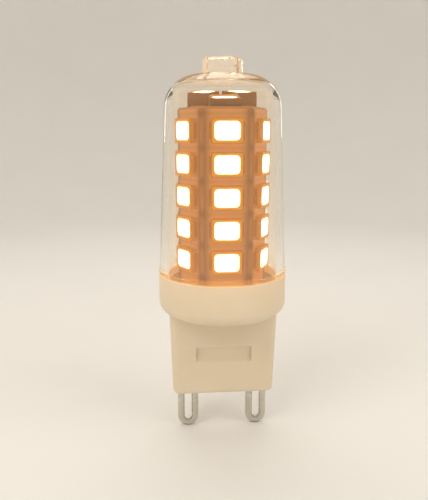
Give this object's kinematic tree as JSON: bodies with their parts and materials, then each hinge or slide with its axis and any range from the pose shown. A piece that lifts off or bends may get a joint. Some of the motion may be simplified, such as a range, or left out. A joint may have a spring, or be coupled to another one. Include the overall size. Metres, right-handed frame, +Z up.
{
  "type": "led capsule bulb",
  "caption": "LED capsule bulb: a hexagonal column of LED strips under a clear drafted cover with a square nub, on a white collar with a flat plug and two wire-loop pins.",
  "frame": {"origin": "on the axis, at the underside of the collar, where the bulb seats in its holder", "axes": "+Z up along the axis to the dome, X along the line of the two pins, -Y the front"},
  "size_m": [0.016, 0.016, 0.0469],
  "materials": {
    "clear_polycarbonate": "clear moulded polycarbonate",
    "white_polycarbonate": "white moulded polycarbonate, satin",
    "tinned_wire": "drawn and tinned wire",
    "white_board": "glass-fibre board under white solder mask",
    "green_board": "glass-fibre board under green solder mask",
    "led_frame": "white moulded LED frame",
    "led_phosphor": "phosphor-filled silicone, lit warm white",
    "solder": "tin solder",
    "black_epoxy": "moulded black epoxy",
    "capacitor_sleeve": "shrunk plastic sleeve"
  },
  "bodies": {
    "root": {"cover": "clear_polycarbonate", "base_housing": "white_polycarbonate", "contact_pin_left": "tinned_wire", "contact_pin_right": "tinned_wire", "base_board": "white_board", "top_board": "white_board", "top_solder": "solder", "led_strip_1": "white_board", "led_strip_2": "white_board", "led_strip_3": "white_board", "led_strip_4": "white_board", "led_strip_5": "white_board", "led_strip_6": "white_board", "led_frames_1": "led_frame", "led_frames_2": "led_frame", "led_frames_3": "led_frame", "led_frames_4": "led_frame", "led_frames_5": "led_frame", "led_frames_6": "led_frame", "led_windows_1": "led_phosphor", "led_windows_2": "led_phosphor", "led_windows_3": "led_phosphor", "led_windows_4": "led_phosphor", "led_windows_5": "led_phosphor", "led_windows_6": "led_phosphor", "led_terminals_1": "solder", "led_terminals_2": "solder", "led_terminals_3": "solder", "led_terminals_4": "solder", "led_terminals_5": "solder", "led_terminals_6": "solder", "top_led_frames": "led_frame", "top_led_windows": "led_phosphor", "top_led_terminals": "solder", "driver_board": "green_board", "bridge_rectifier": "black_epoxy", "driver_chip": "black_epoxy", "chip_resistors": "black_epoxy", "smoothing_capacitor": "capacitor_sleeve"}
  },
  "joints": []
}
